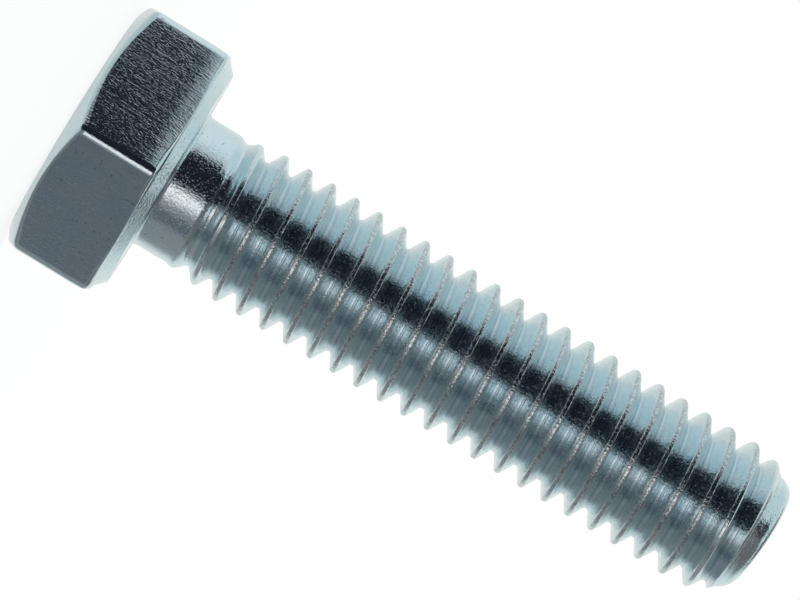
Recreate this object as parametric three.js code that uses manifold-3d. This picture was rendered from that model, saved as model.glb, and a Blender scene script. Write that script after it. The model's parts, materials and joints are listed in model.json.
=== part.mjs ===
// Hex bolt, M6 x 25, fully threaded: one piece of bright zinc plated steel, headed cold and
// thread-rolled. Millimetres, +Z up. It stands on its head: the origin is the centre of the
// head's top face and the thread runs up +Z.
import * as THREE from "three";
import { mergeVertices } from "three/addons/utils/BufferGeometryUtils.js";
import Module from "manifold-3d";

// Driving dimensions.
const PITCH = 1; // M6 coarse
const MAJOR_DIAMETER = 5.88; // made size of an M6 thread, class 6g
const THREAD_DEPTH = 0.6; // crest to root
const CREST_FLAT = 0.17;
const NECK_DIAMETER = 5.35; // blank size: the thread's pitch diameter
const LENGTH = 25.25; // bearing face to thread end: nominal 25, made between 24.58 and 25.42
const ACROSS_FLATS = 9.9; // made size of a head for a 10 mm spanner
const HEAD_HEIGHT = 4.05; // with the washer face: nominal 4, made between 3.85 and 4.15
const HEX_CORNER_RADIUS = 0.45;
const TOP_FLAT_DIAMETER = 9;
const TOP_CHAMFER_ANGLE = 25; // degrees from the top face
const WASHER_HEIGHT = 0.4;
const WASHER_ROOT_DIAMETER = 9.6; // the washer face's cone where it leaves the hexagon
const BEARING_DIAMETER = 8.75;
const HEAD_FILLET = 0.4; // between bearing face and neck
const TIP_DIAMETER = 4.12; // where cone and end face would meet
const TIP_CONE_ANGLE = 28; // degrees from the axis
const TIP_EDGE_RADIUS = 0.6; // between cone and end face

// The thread grows out of the plain neck between these distances from the bearing face.
const ROOT_RUNOUT = [1.1, 2.5];
const CREST_RUNOUT = [1.0, 3.7];
const CREST_START = 0.705; // height of a crest at the +X side, modulo the pitch

const STEPS_PER_TURN = 30;
const HEAD_SEGMENTS = 72;

// Derived sizes.
const BEARING_Z = HEAD_HEIGHT;
const TIP_Z = BEARING_Z + LENGTH;
const CREST_RADIUS = MAJOR_DIAMETER / 2;
const ROOT_RADIUS = CREST_RADIUS - THREAD_DEPTH;
const NECK_RADIUS = NECK_DIAMETER / 2;
const FLANK_WIDTH = THREAD_DEPTH * Math.tan(Math.PI / 6);
const CORNER_REACH = ACROSS_FLATS / Math.sqrt(3);

const wasm = await Module();
wasm.setup();

function solidFrom(geometry) {
  const bare = geometry.clone();
  bare.deleteAttribute("normal");
  bare.deleteAttribute("uv");
  const merged = mergeVertices(bare, 1e-4);
  return new wasm.Manifold(
    new wasm.Mesh({
      numProp: 3,
      vertProperties: merged.getAttribute("position").array,
      triVerts: new Uint32Array(merged.index.array),
    }),
  );
}

function geometryFrom(solid) {
  const mesh = solid.getMesh();
  const geometry = new THREE.BufferGeometry();
  geometry.setAttribute("position", new THREE.BufferAttribute(mesh.vertProperties, 3));
  geometry.setIndex(new THREE.BufferAttribute(mesh.triVerts, 1));
  const faceted = geometry.toNonIndexed();
  faceted.computeVertexNormals();
  return faceted;
}

// A solid of revolution about +Z from [radius, height] pairs listed from bottom to top.
function turned(profile, segments) {
  const points = profile.map(([radius, height]) => new THREE.Vector2(radius, height));
  const lathe = new THREE.LatheGeometry(points, segments);
  return solidFrom(lathe.rotateX(Math.PI / 2));
}

function hexagonShape() {
  const shape = new THREE.Shape();
  const inset = CORNER_REACH - (HEX_CORNER_RADIUS * 2) / Math.sqrt(3);
  for (let corner = 0; corner < 6; corner++) {
    const angle = THREE.MathUtils.degToRad(-90 + 60 * corner);
    const x = inset * Math.cos(angle);
    const y = inset * Math.sin(angle);
    const spread = Math.PI / 6;
    shape.absarc(x, y, HEX_CORNER_RADIUS, angle - spread, angle + spread, false);
  }
  shape.closePath();
  return shape;
}

// The hexagon, its top edge taken off by a shallow cone and its lower corners slightly broken.
function hexagonHead() {
  const height = HEAD_HEIGHT - WASHER_HEIGHT;
  const prism = new THREE.ExtrudeGeometry(hexagonShape(), {
    depth: height,
    bevelEnabled: false,
    curveSegments: 4,
  });
  const chamferRise = Math.tan(THREE.MathUtils.degToRad(TOP_CHAMFER_ANGLE));
  const topRadius = TOP_FLAT_DIAMETER / 2;
  const reach = CORNER_REACH + 0.5;
  const cornerBreak = CORNER_REACH - 0.3;
  const cone = turned(
    [
      [0, 0],
      [topRadius, 0],
      [reach, (reach - topRadius) * chamferRise],
      [reach, height - (reach - cornerBreak)],
      [cornerBreak, height],
      [0, height],
    ],
    HEAD_SEGMENTS,
  );
  return solidFrom(prism).intersect(cone);
}

function washerFace() {
  return turned(
    [
      [0, HEAD_HEIGHT / 2],
      [WASHER_ROOT_DIAMETER / 2, HEAD_HEIGHT / 2],
      [WASHER_ROOT_DIAMETER / 2, BEARING_Z - WASHER_HEIGHT],
      [BEARING_DIAMETER / 2, BEARING_Z],
      [0, BEARING_Z],
    ],
    HEAD_SEGMENTS,
  );
}

// The rounded corner between bearing face and neck.
function headFillet() {
  const steps = 4;
  const outline = [[0, HEAD_HEIGHT / 2]];
  outline.push([NECK_RADIUS + HEAD_FILLET, HEAD_HEIGHT / 2]);
  for (let step = 0; step < steps; step++) {
    const turn = (step / steps) * (Math.PI / 2);
    outline.push([
      NECK_RADIUS + HEAD_FILLET * (1 - Math.sin(turn)),
      BEARING_Z + HEAD_FILLET * (1 - Math.cos(turn)),
    ]);
  }
  outline.push([NECK_RADIUS - 0.02, BEARING_Z + HEAD_FILLET]);
  outline.push([0, BEARING_Z + HEAD_FILLET]);
  return turned(outline, STEPS_PER_TURN);
}

// Radius of a crest or root at a height: the neck's radius, easing to the full thread's.
function threadRadius(fullRadius, [start, end], height) {
  const grown = THREE.MathUtils.smoothstep(height - BEARING_Z, start, end);
  return THREE.MathUtils.lerp(NECK_RADIUS, fullRadius, grown);
}

// A rod whose surface rows follow the thread's helix. One pitch of its section has four
// corners, and the fourth flank ends on the first corner of the next turn.
function threadedRod() {
  const corners = [
    { offset: -CREST_FLAT / 2, radius: CREST_RADIUS, runout: CREST_RUNOUT },
    { offset: CREST_FLAT / 2, radius: CREST_RADIUS, runout: CREST_RUNOUT },
    { offset: CREST_FLAT / 2 + FLANK_WIDTH, radius: ROOT_RADIUS, runout: ROOT_RUNOUT },
    { offset: PITCH - CREST_FLAT / 2 - FLANK_WIDTH, radius: ROOT_RADIUS, runout: ROOT_RUNOUT },
  ];
  const lowTurn = Math.floor(HEAD_HEIGHT / 2);
  const turns = Math.ceil(TIP_Z + PITCH) - lowTurn;
  const steps = turns * STEPS_PER_TURN;
  const positions = [];
  for (let step = 0; step <= steps + STEPS_PER_TURN; step++) {
    const turn = step / STEPS_PER_TURN;
    const angle = turn * 2 * Math.PI;
    for (const { offset, radius, runout } of corners) {
      const height = lowTurn + CREST_START + turn * PITCH + offset;
      const reach = threadRadius(radius, runout, height);
      positions.push(reach * Math.cos(angle), reach * Math.sin(angle), height);
    }
  }
  const count = corners.length;
  const vertexAt = (step, corner) =>
    corner < count ? step * count + corner : (step + STEPS_PER_TURN) * count;
  const lowCentre = positions.length / 3;
  const highCentre = lowCentre + 1;
  positions.push(0, 0, lowTurn + CREST_START);
  positions.push(0, 0, lowTurn + CREST_START + (turns + 1) * PITCH);
  const faces = [];
  for (let step = 0; step < steps; step++) {
    for (let corner = 0; corner < count; corner++) {
      const a = vertexAt(step, corner);
      const b = vertexAt(step + 1, corner);
      const c = vertexAt(step + 1, corner + 1);
      const d = vertexAt(step, corner + 1);
      faces.push(a, b, c, a, c, d);
    }
  }
  for (let step = 0; step < STEPS_PER_TURN; step++) {
    faces.push(lowCentre, vertexAt(step + 1, 0), vertexAt(step, 0));
    faces.push(highCentre, vertexAt(steps + step, 0), vertexAt(steps + step + 1, 0));
  }
  for (let corner = 0; corner < count; corner++) {
    faces.push(lowCentre, vertexAt(0, corner), vertexAt(0, corner + 1));
    faces.push(highCentre, vertexAt(steps, corner + 1), vertexAt(steps, corner));
  }
  const geometry = new THREE.BufferGeometry();
  geometry.setAttribute("position", new THREE.Float32BufferAttribute(positions, 3));
  geometry.setIndex(faces);
  return solidFrom(geometry);
}

// The rod's outer limit: flat inside the head, and a cone with a rounded edge at the thread end.
function rodLimit() {
  const coneAngle = THREE.MathUtils.degToRad(TIP_CONE_ANGLE);
  const tipRadius = TIP_DIAMETER / 2;
  const reach = CREST_RADIUS + 0.5;
  const coneLength = (reach - tipRadius) / Math.tan(coneAngle);
  const edgeTurn = Math.PI / 2 - coneAngle;
  const flatRadius = tipRadius - TIP_EDGE_RADIUS * Math.tan(edgeTurn / 2);
  const outline = [
    [0, HEAD_HEIGHT * 0.75],
    [reach, HEAD_HEIGHT * 0.75],
    [reach, TIP_Z - coneLength],
  ];
  const steps = 4;
  for (let step = 0; step <= steps; step++) {
    const angle = coneAngle + (step / steps) * edgeTurn;
    outline.push([
      flatRadius + TIP_EDGE_RADIUS * Math.cos(angle),
      TIP_Z - TIP_EDGE_RADIUS * (1 - Math.sin(angle)),
    ]);
  }
  outline.push([0, TIP_Z]);
  return turned(outline, STEPS_PER_TURN * 2);
}

const brightZinc = new THREE.MeshStandardMaterial({
  color: 0xa3adb3,
  roughness: 0.3,
  metalness: 1,
});

const solid = threadedRod()
  .intersect(rodLimit())
  .add(headFillet())
  .add(washerFace())
  .add(hexagonHead());

const bolt = new THREE.Mesh(geometryFrom(solid), brightZinc);
bolt.name = "hex_bolt";

const group = new THREE.Group();
group.name = "hex_bolt_m6x25";
group.add(bolt);

export default group;
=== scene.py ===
"""Hex bolt, M6 x 25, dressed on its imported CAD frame: one fine closed mesh of bright zinc
plated steel, standing on its head in a white studio."""

import json
import math

import bpy
from mathutils import Matrix, Vector


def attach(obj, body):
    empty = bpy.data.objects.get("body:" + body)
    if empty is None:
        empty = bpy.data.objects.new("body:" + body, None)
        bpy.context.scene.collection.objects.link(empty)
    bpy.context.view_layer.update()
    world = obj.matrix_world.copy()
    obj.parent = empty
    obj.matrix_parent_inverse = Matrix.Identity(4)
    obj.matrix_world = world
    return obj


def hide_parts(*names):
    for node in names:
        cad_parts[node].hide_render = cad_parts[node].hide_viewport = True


NODE = "hex_bolt"
MM = 0.001

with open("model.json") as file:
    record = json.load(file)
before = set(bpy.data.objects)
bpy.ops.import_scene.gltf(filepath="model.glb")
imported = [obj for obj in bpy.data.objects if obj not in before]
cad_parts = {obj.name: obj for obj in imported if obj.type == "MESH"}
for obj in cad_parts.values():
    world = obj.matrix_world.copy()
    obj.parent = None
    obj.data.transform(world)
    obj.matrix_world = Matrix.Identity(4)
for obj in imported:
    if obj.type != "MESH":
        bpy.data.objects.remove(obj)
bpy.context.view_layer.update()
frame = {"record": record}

# ---------------------------------------------------------------- sizes, from the frame, in mm


def mount_position(name):
    for mount in frame["record"]["mounts"]:
        if mount["name"] == name:
            return [value / MM for value in mount["pos_m"]]
    raise KeyError(name)


TIP_Z = mount_position("thread_end_face")[2]
BEARING_Z = mount_position("bearing_face")[2]
FLAT_REACH = mount_position("spanner_flat_right")[0]

# ---------------------------------------------------------------- sizes of the fine shape, in mm

# Thread.
PITCH = 1.0
CREST_RADIUS = 2.94
ROOT_RADIUS = 2.34
NECK_RADIUS = 2.675
CREST_FLAT = 0.17
CREST_SEAM_DEPTH = 0.018
CREST_SEAM_WIDTH = 0.045
CREST_SHOULDER = (0.72, 0.011)  # share of half the crest flat, and how far below the crest
CREST_ROUNDING = 0.05  # how far down the rounded sides of a crest reach
CREST_HEIGHT_AT_X = 0.705  # height of a crest on the +X side, modulo the pitch
ROOT_RUNOUT = (1.1, 2.5)  # from the bearing face
CREST_RUNOUT = (1.0, 3.7)
SPIRAL_START = 0.45  # from the bearing face: rows follow the helix from here

# Head.
HEX_CORNER_RADIUS = 0.45
TOP_RINGS = (1.5, 3.0, 4.2)  # radii of the rows on the flat top
TOP_FLAT_RADIUS = 4.5
TOP_EDGE_RADIUS = 0.3
TOP_CHAMFER_SLOPE = math.tan(math.radians(25))
SIDE_EDGE_RADIUS = 0.2  # above and below the middle of a side
SIDE_EDGE_GROWTH = 0.25  # more, for each mm that the hexagon reaches beyond its flats
SIDE_ROWS = ((1.2, 0), (2.0, 0), (2.6, 0), (2.95, 0), (3.15, 0.004))  # height, lean inwards
SIDE_LEAN = 0.03  # where the sides end
WASHER_HEIGHT = 0.4
WASHER_ROOT_RADIUS = 4.8
WASHER_ROOT_FILLET = 0.08
BEARING_RADIUS = 4.375
BEARING_EDGE_RADIUS = 0.07
BEARING_RING = 3.7  # radius of the row on the bearing face
HEAD_FILLET = 0.4

# Thread end. Distances are from the end.
TIP_RADIUS = 2.06
TIP_SLOPE = math.tan(math.radians(28))
TIP_EDGE_RADIUS = 0.6
TIP_RINGS = (1.2, 0.6)  # radii of the rows on the flat end
TIP_BREAK = 0.82  # the thread falls off steeply here, onto the end's own cone
BREAK_SLOPE = math.tan(math.radians(49))
BREAK_SOFTNESS = 0.02
TIP_FADE = (2.2, 0.6)  # the crests get lower
TIP_FADE_DEPTH = 0.24
TIP_STRETCH = 0.07  # rolling draws the last turns out a little
STRETCH_RISE = (4.0, 1.8)
STRETCH_FALL = (1.2, 0.3)
TIP_SLANT = 0.045  # the sheared end is a little out of square: lower on the +X side
SLANT_RISE = (1.0, 0.2)
SLANT_PIVOT = -1.2  # along X

# Regions of the material.
SIDE_INSET = 0.06  # a point on the sides is no further than this inside the flats
SIDE_MARGINS = (0.02, 0.01)  # above the top chamfer, and past the sides' end
THREAD_REGION = (1.0, 2.5)  # from the bearing face
CREST_REGION = (0.045, 0.015)  # below the crest
ROOT_REGION = (0.05, 0.01)  # above the root
ROOT_REGION_FADE = 0.2  # ends this far before the steep fall at the thread end
START_RISE = (0.9, 1.6)  # from the bearing face: where the thread starts
START_FALL = (2.4, 4.5)

# Columns and rows of points.
FLAT_COLUMNS = 7  # on half a flat
CORNER_COLUMNS = 4  # on half a rounded corner
COLUMNS = 12 * (FLAT_COLUMNS + CORNER_COLUMNS)
EVENING_ROWS = 12  # before the neck: the columns become evenly spaced
ROOT_STEPS = 5  # on half a root
CONE_ROWS = 10  # from the last turn to the end's rounded edge


def smoothstep(value, start, end):
    t = min(1.0, max(0.0, (value - start) / (end - start)))
    return t * t * (3 - 2 * t)


def lerp(a, b, t):
    return a + (b - a) * t


def near_end(height, far, near):
    """0 up to far from the thread end, easing to 1 at near."""
    return smoothstep(height, TIP_Z - far, TIP_Z - near)


def even_azimuth(column):
    return 2 * math.pi * column / COLUMNS


# ---------------------------------------------------------------- outlines


def rounded_path(corners):
    """Points of an open outline. Each corner is (x, y, radius, steps), and a corner with steps
    becomes an arc of steps + 1 points, however small its radius has to be."""
    longest_tangent = 0.48  # as a share of either side
    points = []
    for index, (x, y, radius, steps) in enumerate(corners):
        here = Vector((x, y))
        if steps == 0:
            points.append(here)
            continue
        before = Vector(corners[index - 1][:2]) - here
        after = Vector(corners[index + 1][:2]) - here
        opening = before.angle(after)
        tangent = radius / math.tan(opening / 2)
        tangent = min(tangent, longest_tangent * before.length, longest_tangent * after.length)
        radius = tangent * math.tan(opening / 2)
        start = here + before.normalized() * tangent
        middle = (before.normalized() + after.normalized()).normalized()
        centre = here + middle * (radius / math.sin(opening / 2))
        spoke = start - centre
        turn = math.pi - opening
        if before.cross(after) > 0:
            turn = -turn
        for step in range(steps + 1):
            angle = turn * step / steps
            cosine = math.cos(angle)
            sine = math.sin(angle)
            rotated = Vector((spoke.x * cosine - spoke.y * sine, spoke.x * sine + spoke.y * cosine))
            points.append(centre + rotated)
    return points


def hexagon_ring():
    """(azimuth, radius) of each column round the hexagon, from the middle of the +X flat."""
    corner = math.pi / 6
    centre_reach = (FLAT_REACH - HEX_CORNER_RADIUS) / math.cos(corner)
    centre = Vector((centre_reach * math.cos(corner), centre_reach * math.sin(corner)))
    flat_half = FLAT_REACH * math.tan(corner) - HEX_CORNER_RADIUS * math.tan(corner)
    half = []
    for step in range(FLAT_COLUMNS):
        half.append(Vector((FLAT_REACH, flat_half * step / FLAT_COLUMNS)))
    for step in range(CORNER_COLUMNS + 1):
        turn = corner * step / CORNER_COLUMNS
        half.append(centre + HEX_CORNER_RADIUS * Vector((math.cos(turn), math.sin(turn))))
    half = [(math.atan2(point.y, point.x), point.length) for point in half]
    sector = half + [(math.pi / 3 - azimuth, radius) for azimuth, radius in half[-2:0:-1]]
    ring = []
    for side in range(6):
        for azimuth, radius in sector:
            ring.append((azimuth + side * math.pi / 3, radius))
    return ring


def head_outline(hex_radius):
    """The head's half section, from the middle of its top face to the neck."""
    chamfer_end = (hex_radius - TOP_FLAT_RADIUS) * TOP_CHAMFER_SLOPE
    under = BEARING_Z - WASHER_HEIGHT
    edge_radius = SIDE_EDGE_RADIUS + (hex_radius - FLAT_REACH) * SIDE_EDGE_GROWTH
    top = [(radius, 0, 0, 0) for radius in TOP_RINGS]
    top.append((TOP_FLAT_RADIUS, 0, TOP_EDGE_RADIUS, 4))
    top.append((hex_radius, chamfer_end, edge_radius, 4))
    side = [(hex_radius - lean, height, 0, 0) for height, lean in SIDE_ROWS]
    bottom = [
        (hex_radius - SIDE_LEAN, under, edge_radius, 5),
        (WASHER_ROOT_RADIUS, under, WASHER_ROOT_FILLET, 3),
        (BEARING_RADIUS, BEARING_Z, BEARING_EDGE_RADIUS, 4),
        (BEARING_RING, BEARING_Z, 0, 0),
        (NECK_RADIUS, BEARING_Z, HEAD_FILLET, 7),
        (NECK_RADIUS, BEARING_Z + SPIRAL_START, 0, 0),
    ]
    return rounded_path(top + side + bottom)


def thread_rows():
    """Offsets from a crest's middle, and the depth below it as a share of the full depth, for
    the rows of one pitch: a crest with the fine seam that rolling leaves along it, straight
    flanks and a root that is one arc."""
    depth = CREST_RADIUS - ROOT_RADIUS
    flank_slope = math.tan(math.pi / 6)
    crest_half = CREST_FLAT / 2
    shoulder_share, shoulder_depth = CREST_SHOULDER
    root_rounding = (PITCH / 2 - crest_half) / flank_slope - depth
    outline = [
        Vector((0, CREST_SEAM_DEPTH)),
        Vector((CREST_SEAM_WIDTH / 2, 0)),
        Vector((crest_half * shoulder_share, shoulder_depth)),
        Vector((crest_half + CREST_ROUNDING * flank_slope, CREST_ROUNDING)),
        Vector((crest_half + depth / 2 * flank_slope, depth / 2)),
    ]
    for step in range(ROOT_STEPS + 1):
        turn = math.pi / 3 * (1 - step / ROOT_STEPS)
        across = PITCH / 2 - root_rounding * math.sin(turn)
        outline.append(Vector((across, depth - root_rounding * (1 - math.cos(turn)))))
    half = [(point.x, point.y / depth) for point in outline]
    return half + [(PITCH - offset, share) for offset, share in half[-2:0:-1]]


ROWS = thread_rows()


def share_below_crest(offset):
    """The same depth share, for any offset in the pitch."""
    offset = offset % PITCH
    for (low, low_share), (high, high_share) in zip(ROWS, ROWS[1:] + [(PITCH, 0.0)]):
        if low <= offset <= high:
            return lerp(low_share, high_share, (offset - low) / (high - low))
    return 0.0


def thread_radius(share, height):
    """Radius of the thread where its section lies a share of the depth below the crest. Near the
    head the crests and the roots grow out of the neck, and the end is coned."""
    from_head = height - BEARING_Z
    from_end = TIP_Z - height
    full_crest = CREST_RADIUS - TIP_FADE_DEPTH * smoothstep(from_end, *TIP_FADE)
    crest = lerp(NECK_RADIUS, full_crest, smoothstep(from_head, *CREST_RUNOUT))
    root = lerp(NECK_RADIUS, ROOT_RADIUS, smoothstep(from_head, *ROOT_RUNOUT))
    radius = lerp(crest, root, share)
    cone = TIP_RADIUS + from_end * TIP_SLOPE
    cone += max(0.0, from_end - TIP_BREAK) * (BREAK_SLOPE - TIP_SLOPE)
    # The smaller of the two, blended where they meet. Beyond far_apart the blend wouldn't show.
    far_apart = 20
    gap = (radius - cone) / BREAK_SOFTNESS
    if gap > far_apart:
        return cone
    if gap < -far_apart:
        return radius
    return radius - BREAK_SOFTNESS * math.log1p(math.exp(gap))


# ---------------------------------------------------------------- the mesh


def build_bolt_mesh():
    """One closed surface. The head's rows run level, the thread's rows follow its helix, and a
    wedge of rows one pitch high joins the two kinds at each end of the thread."""
    vertices = []
    faces = []

    def add_vertex(azimuth, radius, height):
        x = radius * math.cos(azimuth)
        y = radius * math.sin(azimuth)
        slant = TIP_SLANT * (x - SLANT_PIVOT) * near_end(height, *SLANT_RISE)
        drawn_out = near_end(height, *STRETCH_RISE)
        drawn_out *= 1 - near_end(height, *STRETCH_FALL)
        height += TIP_STRETCH * drawn_out - slant
        vertices.append((x * MM, y * MM, height * MM))
        return len(vertices) - 1

    def add_thread_vertex(column, height, share=None):
        """A point on the thread, at the share that its place on the helix gives if none is."""
        if share is None:
            share = share_below_crest(height - CREST_HEIGHT_AT_X - PITCH * column / COLUMNS)
        return add_vertex(even_azimuth(column), thread_radius(share, height), height)

    def join_rings(low, high):
        for column in range(COLUMNS):
            after = (column + 1) % COLUMNS
            faces.append((low[column], low[after], high[after], high[column]))

    def join_columns(columns):
        """Faces between columns side by side. Where they share a point the face has three."""
        for here, after in zip(columns, columns[1:]):
            for row in range(len(here) - 1):
                face = (here[row], after[row], after[row + 1], here[row + 1])
                faces.append(tuple(dict.fromkeys(face)))

    # Head. Its azimuths ease from the hexagon's columns to even ones on the way to the neck.
    ring = hexagon_ring()
    outlines = [head_outline(radius) for _, radius in ring]
    row_count = len(outlines[0])
    rows = []
    for row in range(row_count):
        even = smoothstep(row, row_count - EVENING_ROWS, row_count - 1)
        ids = []
        for column in range(COLUMNS):
            azimuth = lerp(ring[column][0], even_azimuth(column), even)
            point = outlines[column][row]
            ids.append(add_vertex(azimuth, point.x, point.y))
        rows.append(ids)
    top = add_vertex(0, 0, 0)
    for column in range(COLUMNS):
        faces.append((top, rows[0][(column + 1) % COLUMNS], rows[0][column]))
    for low, high in zip(rows, rows[1:]):
        join_rings(low, high)
    neck = rows[-1]

    # Helical rows, from a crest phase chosen so that they start level with the neck ring.
    start_z = BEARING_Z + SPIRAL_START
    first_phase = (start_z - CREST_HEIGHT_AT_X) % PITCH
    base_rows = sorted(((offset - first_phase) % PITCH, share) for offset, share in ROWS)
    if base_rows[0][0] > 1e-6:
        base_rows.insert(0, (0.0, share_below_crest(first_phase)))
    per_pitch = len(base_rows)
    pitches = int((TIP_Z - start_z) / PITCH) - 1
    helix_rows = pitches * per_pitch
    grid = []
    for column in range(COLUMNS):
        count = helix_rows + 1
        ids = []
        if column == 0:
            # It starts on the neck's own point, and runs one pitch on, beside the last column.
            count += per_pitch
            ids.append(neck[0])
        for index in range(len(ids), count):
            turn, row = divmod(index, per_pitch)
            offset, share = base_rows[row]
            height = start_z + PITCH * column / COLUMNS + turn * PITCH + offset
            ids.append(add_thread_vertex(column, height, share))
        grid.append(ids)
    join_columns([ids[: helix_rows + 1] for ids in grid] + [grid[0][per_pitch:]])

    # Lower wedge, from the neck ring up to the first helical row.
    wedge = [[neck[0]] * (per_pitch + 1)]
    for column in range(1, COLUMNS):
        ids = [neck[column]]
        for offset, _ in base_rows[1:]:
            ids.append(add_thread_vertex(column, start_z + offset * column / COLUMNS))
        ids.append(grid[column][0])
        wedge.append(ids)
    wedge.append(grid[0][: per_pitch + 1])
    join_columns(wedge)

    # Upper wedge, from the last helical row up to a level ring near the end.
    ring_z = start_z + pitches * PITCH + PITCH
    wedge = [grid[0][helix_rows:]]
    for column in range(1, COLUMNS):
        left = 1 - column / COLUMNS
        ids = [grid[column][-1]]
        for offset, _ in base_rows[1:] + [(PITCH, 0.0)]:
            ids.append(add_thread_vertex(column, ring_z - (PITCH - offset) * left))
        wedge.append(ids)
    last = [ids[-1] for ids in wedge]
    wedge.append([last[0]] * (per_pitch + 1))
    join_columns(wedge)

    # Level rows over the cone, its rounded edge and the flat end. The outline starts 1 mm down
    # the cone.
    end_outline = rounded_path(
        [
            (TIP_RADIUS + TIP_SLOPE, TIP_Z - 1, 0, 0),
            (TIP_RADIUS, TIP_Z, TIP_EDGE_RADIUS, 7),
            *((radius, TIP_Z, 0, 0) for radius in TIP_RINGS),
        ]
    )
    edge_z = end_outline[1].y
    for level in range(1, CONE_ROWS + 1):
        height = lerp(ring_z, edge_z, level / CONE_ROWS)
        ids = [add_thread_vertex(column, height) for column in range(COLUMNS)]
        join_rings(last, ids)
        last = ids
    for point in end_outline[2:]:
        ids = [add_vertex(even_azimuth(column), point.x, point.y) for column in range(COLUMNS)]
        join_rings(last, ids)
        last = ids
    end = add_vertex(0, 0, TIP_Z)
    for column in range(COLUMNS):
        faces.append((last[column], last[(column + 1) % COLUMNS], end))

    mesh = bpy.data.meshes.new("hex_bolt_body")
    mesh.from_pydata(vertices, [], faces)
    mesh.validate()
    mesh.shade_smooth()
    weigh_normals(mesh)
    mark_regions(mesh)
    return mesh


def weigh_normals(mesh):
    """Normals that follow the widest faces, so that flanks and flats are not shaded round."""
    sums = [Vector((0, 0, 0)) for vertex in mesh.vertices]
    for polygon in mesh.polygons:
        weighted = polygon.normal * (polygon.area / MM**2)
        for vertex in polygon.vertices:
            sums[vertex] += weighted
    mesh.normals_split_custom_set_from_vertices([total.normalized() for total in sums])


def mark_regions(mesh):
    """Attributes for the material: how much a point is on the sides of the hexagon, in the rolled
    thread, on a thread crest, in its root and where the thread starts."""
    regions = {"hex_side": [], "thread": [], "crest": [], "root": [], "start": []}
    over_chamfer, past_end = SIDE_MARGINS
    side_end = BEARING_Z - WASHER_HEIGHT + past_end
    crest_low, crest_high = [CREST_RADIUS - below for below in CREST_REGION]
    root_high, root_low = [ROOT_RADIUS + above for above in ROOT_REGION]
    for vertex in mesh.vertices:
        radius = math.hypot(vertex.co.x, vertex.co.y) / MM
        height = vertex.co.z / MM
        from_head = height - BEARING_Z
        side_start = (radius - TOP_FLAT_RADIUS) * TOP_CHAMFER_SLOPE + over_chamfer
        on_side = radius > FLAT_REACH - SIDE_INSET and side_start < height < side_end
        thread = smoothstep(from_head, *THREAD_REGION)
        crest = thread * smoothstep(radius, crest_low, crest_high)
        root = thread * smoothstep(radius, root_high, root_low)
        root *= smoothstep(TIP_Z - height, TIP_BREAK, TIP_BREAK + ROOT_REGION_FADE)
        start = smoothstep(from_head, *START_RISE) * (1 - smoothstep(from_head, *START_FALL))
        amounts = (float(on_side), thread, crest, root, start)
        for values, amount in zip(regions.values(), amounts):
            values.append(amount)
    for name, values in regions.items():
        mesh.attributes.new(name, "FLOAT", "POINT").data.foreach_set("value", values)


# ---------------------------------------------------------------- material


def add_node(tree, kind, inputs=None, **settings):
    """A shader node with its settings, and inputs given as values or as sockets to link."""
    node = tree.nodes.new(kind)
    for name, value in settings.items():
        setattr(node, name, value)
    for name, value in (inputs or {}).items():
        if isinstance(value, bpy.types.NodeSocket):
            tree.links.new(value, node.inputs[name])
        else:
            node.inputs[name].default_value = value
    return node


def noise(tree, vector, per_mm, detail=2.0):
    """Noise from 0 to 1 with so many features in a millimetre."""
    inputs = {"Vector": vector, "Scale": per_mm, "Detail": detail, "Roughness": 0.5}
    return add_node(tree, "ShaderNodeTexNoise", inputs).outputs["Fac"]


def multiply(tree, first, second):
    return add_node(tree, "ShaderNodeMath", {0: first, 1: second}, operation="MULTIPLY").outputs[0]


def add_scaled(tree, total, value, amount):
    """total + value * amount."""
    inputs = {0: value, 1: amount, 2: total}
    return add_node(tree, "ShaderNodeMath", inputs, operation="MULTIPLY_ADD").outputs[0]


def remap(tree, value, low, high, out_low=0, out_high=1):
    inputs = {"Value": value, "From Min": low, "From Max": high}
    inputs.update({"To Min": out_low, "To Max": out_high})
    node = add_node(tree, "ShaderNodeMapRange", inputs, interpolation_type="SMOOTHSTEP")
    return node.outputs["Result"]


def mix_color(tree, factor, first, second):
    # A Mix node names its colour sockets like its number sockets, so they go by position.
    inputs = {0: factor, 6: first, 7: second}
    return add_node(tree, "ShaderNodeMix", inputs, data_type="RGBA").outputs[2]


def attribute(tree, name):
    return add_node(tree, "ShaderNodeAttribute", attribute_name=name).outputs["Fac"]


def stretched(tree, vector, factors):
    inputs = {0: vector, 1: factors}
    return add_node(tree, "ShaderNodeVectorMath", inputs, operation="MULTIPLY").outputs[0]


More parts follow.
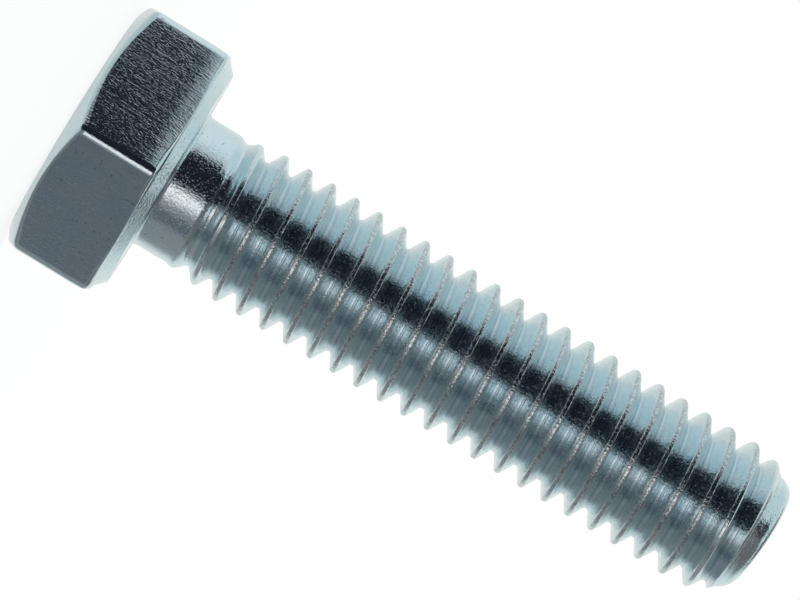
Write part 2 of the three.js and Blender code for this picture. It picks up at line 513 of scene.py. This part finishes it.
def bright_zinc():
    """Zinc plate over drawn and cold-formed steel: a fine grain all over, drawing streaks and
    dashes along the sides of the head, pits elsewhere, rolling rings where the thread starts,
    rough speckled crests, painted shade that darkens the roots to a deeper blue, and a faint
    drift between blue and straw."""
    material = bpy.data.materials.new("bright_zinc")
    material.use_nodes = True
    tree = material.node_tree
    shader = tree.nodes["Principled BSDF"]
    shader.inputs["Metallic"].default_value = 1

    place = add_node(tree, "ShaderNodeTexCoord").outputs["Object"]
    scale = {0: place, "Scale": 1 / MM}
    in_mm = add_node(tree, "ShaderNodeVectorMath", scale, operation="SCALE").outputs[0]
    side = attribute(tree, "hex_side")
    thread = attribute(tree, "thread")
    crest = attribute(tree, "crest")
    root = attribute(tree, "root")
    start = attribute(tree, "start")

    # Patterns. Streaks and dashes run along the bolt, and the rings round it.
    grain = noise(tree, in_mm, per_mm=13, detail=1.0)
    peel = noise(tree, in_mm, per_mm=3)
    pits = remap(tree, noise(tree, in_mm, per_mm=15, detail=1.0), 0.58, 0.70)
    streaks = noise(tree, stretched(tree, in_mm, (1, 1, 0.06)), per_mm=12)
    dashes = noise(tree, stretched(tree, in_mm, (1, 1, 0.4)), per_mm=22, detail=1.0)
    rings = noise(tree, stretched(tree, in_mm, (0.12, 0.12, 1)), per_mm=6)

    # Heights in mm, all over or in one region. The thread and the sides are smoother than the
    # rest, and the crests rougher.
    relief = [
        (grain, None, 0.007),
        (grain, thread, -0.002),
        (grain, side, -0.006),
        (grain, crest, 0.010),
        (pits, None, 0.003),
        (pits, side, -0.003),
        (pits, crest, 0.003),
        (peel, None, 0.0025),
        (streaks, side, 0.0025),
        (dashes, side, 0.0035),
        (rings, start, 0.010),
    ]
    height = 0.0
    for pattern, region, amount in relief:
        if region is not None:
            pattern = multiply(tree, pattern, region)
        height = add_scaled(tree, height, pattern, amount)
    bump = add_node(tree, "ShaderNodeBump", {"Height": height, "Distance": MM})
    tree.links.new(bump.outputs["Normal"], shader.inputs["Normal"])

    blue = (0.66, 0.78, 0.83, 1)
    straw = (0.70, 0.79, 0.81, 1)
    dull = (0.46, 0.49, 0.50, 1)
    painted_root_shade = (0.38, 0.52, 0.60, 1)
    dark = (0.30, 0.34, 0.36, 1)
    drift = remap(tree, noise(tree, in_mm, per_mm=0.9, detail=3.0), 0.35, 0.65)
    color = mix_color(tree, drift, blue, straw)
    worn = remap(tree, noise(tree, in_mm, per_mm=11), 0.4, 0.58, 1, 0.25)
    color = mix_color(tree, multiply(tree, crest, worn), color, dull)
    # Painted shade: the colour in the thread roots is darkened towards a deeper blue.
    root_shade_share = 0.55
    color = mix_color(tree, multiply(tree, root, root_shade_share), color, painted_root_shade)
    specks = remap(tree, noise(tree, in_mm, per_mm=7, detail=1.0), 0.68, 0.78, 0, 0.6)
    color = mix_color(tree, specks, color, dark)
    tree.links.new(color, shader.inputs["Base Color"])

    smoothest = 0.09
    roughest = 0.14
    roughness = remap(tree, noise(tree, in_mm, per_mm=5), 0.3, 0.7, smoothest, roughest)
    for region, amount in ((thread, -0.02), (crest, 0.04), (root, 0.03), (side, -0.03)):
        roughness = add_scaled(tree, roughness, region, amount)
    tree.links.new(roughness, shader.inputs["Roughness"])
    return material


# ---------------------------------------------------------------- camera

# Nearly level, square to the bolt, rolled so that the bolt runs from upper left to lower right.
CAMERA_AZIMUTH = math.radians(270 - 1.3)
CAMERA_DISTANCE = 160.0  # mm from the bolt's axis
CAMERA_HEIGHT = 6.8
AIM_HEIGHT = 13.45
AIM_SIDE = 0.6  # the bolt's axis lies this far below the picture's middle
CAMERA_ROLL = math.radians(31.47)
PIXELS_PER_MM = 27.5
IMAGE_WIDTH = 800


def make_camera():
    outward = Vector((math.cos(CAMERA_AZIMUTH), math.sin(CAMERA_AZIMUTH), 0))
    side = Vector((-math.sin(CAMERA_AZIMUTH), math.cos(CAMERA_AZIMUTH), 0))
    shift = side * -AIM_SIDE
    location = outward * CAMERA_DISTANCE + shift + Vector((0, 0, CAMERA_HEIGHT))
    aim = shift + Vector((0, 0, AIM_HEIGHT))
    back = (location - aim).normalized()
    along = Vector((0, 0, 1)) - back * back.z
    along.normalize()
    across = along.cross(back)
    right = along * math.cos(CAMERA_ROLL) - across * math.sin(CAMERA_ROLL)
    up = back.cross(right)
    data = bpy.data.cameras.new("camera")
    data.sensor_width = 36
    data.lens = PIXELS_PER_MM * (location - aim).length * data.sensor_width / IMAGE_WIDTH
    data.clip_start = 0.01
    camera = bpy.data.objects.new("camera", data)
    camera.matrix_world = Matrix(
        (
            (right.x, up.x, back.x, location.x * MM),
            (right.y, up.y, back.y, location.y * MM),
            (right.z, up.z, back.z, location.z * MM),
            (0, 0, 0, 1),
        )
    )
    bpy.context.scene.collection.objects.link(camera)
    bpy.context.scene.camera = camera


# ---------------------------------------------------------------- studio

# What stands round the bolt, in degrees: (azimuths, soft edges, elevations, soft edges, colour).
# Azimuth 0 is the camera's side and grows towards +X. Each covers those before it, and where
# none stands there is the tent.
TENT = (0.80, 0.87, 0.89)
BLACK = (0.014, 0.016, 0.024)
STUDIO = [
    # The room below and above.
    ((-360, 360), (1, 1), (-90, -20), (1, 15), (0.58, 0.64, 0.65)),
    ((-360, 360), (1, 1), (30, 90), (20, 1), (0.62, 0.74, 0.77)),
    # Behind the bolt: a pale card, lighter from just below level, and a dark one high up.
    ((150, 210), (30, 30), (-90, 90), (1, 1), (0.72, 0.75, 0.74)),
    ((150, 210), (30, 30), (-10, 90), (15, 1), (0.82, 0.86, 0.84)),
    ((150, 205), (12, 12), (50, 77), (8, 4), (0.16, 0.155, 0.16)),
    # On the -X side, mid grey.
    ((-62, 0), (26, 10), (-40, 30), (15, 15), (0.54, 0.59, 0.62)),
    # On the +X side, dark grey with a lighter middle.
    ((0, 107), (20, 36), (-60, 76), (15, 6), (0.20, 0.215, 0.22)),
    ((0, 107), (20, 36), (-25, 25), (15, 15), (0.265, 0.28, 0.285)),
    # Dark, high on the camera's side.
    ((-55, 100), (3, 20), (45, 78), (5, 6), (0.16, 0.155, 0.16)),
    # A darker upright strip in the grey on the +X side.
    ((52, 64), (12, 12), (-30, 30), (12, 12), (0.128, 0.144, 0.166)),
    # Black, on the -X side: the dark bands on the metal.
    ((-50, -3), (4, 5), (60, 76), (5, 4), (0.05, 0.05, 0.06)),
    ((-65, -50), (4, 4), (30, 56), (8, 5), BLACK),
    ((-54, -3), (4, 5), (-76, 56), (8, 5), BLACK),
    ((-58.5, -50), (2.5, 3), (-8, 2.5), (4, 2.5), BLACK),
    ((-61.5, -56), (2, 3), (-8, -1.15), (4, 0.4), BLACK),
    # An upright lamp, just on the +X side of the camera.
    ((11, 17), (9, 20), (-14, 40), (8, 8), (1.12, 1.06, 1.06)),
]
SURROUND_COLUMNS = 240
SURROUND_ROWS = 120
SURROUND_RADIUS = 0.9  # metres, as for the floor
FLOOR_RADIUS = 8
FLOOR_Z = -0.00002


def band(value, low, high, low_soft, high_soft):
    """1 between low and high, easing to 0 over the soft edges outside them."""
    return smoothstep(value, low - low_soft, low) * (1 - smoothstep(value, high, high + high_soft))


def light_at(azimuth, elevation):
    color = Vector(TENT)
    for azimuths, sides, elevations, ends, shade in STUDIO:
        across = max(band(azimuth + turn, *azimuths, *sides) for turn in (-360, 0, 360))
        color = color.lerp(Vector(shade), across * band(elevation, *elevations, *ends))
    return (*color, 1)


def make_surround():
    """A sphere of soft light round the bolt, which only lights and reflects."""
    across = SURROUND_COLUMNS
    vertices = []
    lights = []
    for row in range(SURROUND_ROWS + 1):
        elevation = lerp(-90, 90, row / SURROUND_ROWS)
        level = SURROUND_RADIUS * math.cos(math.radians(elevation))
        height = SURROUND_RADIUS * math.sin(math.radians(elevation)) + AIM_HEIGHT * MM
        for column in range(across):
            azimuth = 360 * column / across - 180
            direction = CAMERA_AZIMUTH + math.radians(azimuth)
            vertices.append((level * math.cos(direction), level * math.sin(direction), height))
            lights.append(light_at(azimuth, elevation))
    faces = []
    for row in range(SURROUND_ROWS):
        for column in range(across):
            after = (column + 1) % across
            low = row * across
            faces.append((low + column, low + after, low + across + after, low + across + column))
    mesh = bpy.data.meshes.new("surround")
    mesh.from_pydata(vertices, [], faces)
    light = mesh.attributes.new("light", "FLOAT_COLOR", "POINT")
    light.data.foreach_set("color", [value for color in lights for value in color])
    mesh.materials.append(surround_glow())

    surround = bpy.data.objects.new("surround", mesh)
    bpy.context.scene.collection.objects.link(surround)
    surround.visible_camera = False


def surround_glow():
    material = bpy.data.materials.new("surround")
    material.use_nodes = True
    tree = material.node_tree
    tree.nodes.clear()
    out = add_node(tree, "ShaderNodeOutputMaterial")
    shade = add_node(tree, "ShaderNodeAttribute", attribute_name="light").outputs["Color"]
    glow = add_node(tree, "ShaderNodeEmission", {"Color": shade})
    tree.links.new(glow.outputs["Emission"], out.inputs["Surface"])
    material.cycles.emission_sampling = "NONE"
    return material


def make_floor():
    bpy.ops.mesh.primitive_circle_add(vertices=96, radius=FLOOR_RADIUS, fill_type="NGON")
    floor = bpy.context.object
    floor.name = "floor"
    floor.location.z = FLOOR_Z
    floor.data.materials.append(floor_material())
    floor.visible_glossy = False


def floor_material():
    material = bpy.data.materials.new("floor_white")
    material.use_nodes = True
    shader = material.node_tree.nodes["Principled BSDF"]
    shader.inputs["Base Color"].default_value = (0.4, 0.4, 0.4, 1)
    shader.inputs["Roughness"].default_value = 1
    shader.inputs["Specular IOR Level"].default_value = 0
    shader.inputs["Emission Color"].default_value = (1, 1, 1, 1)
    shader.inputs["Emission Strength"].default_value = 0.82
    return material


def make_studio():
    world = bpy.data.worlds.new("white")
    bpy.context.scene.world = world
    world.use_nodes = True
    background = world.node_tree.nodes["Background"]
    background.inputs["Color"].default_value = (1, 1, 1, 1)
    make_floor()
    make_surround()


bpy.context.scene.view_settings.view_transform = "Standard"

bolt = bpy.data.objects.new("bolt_body", build_bolt_mesh())
bpy.context.scene.collection.objects.link(bolt)
bolt.data.materials.append(bright_zinc())
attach(bolt, "root")
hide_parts(NODE)

make_studio()
make_camera()
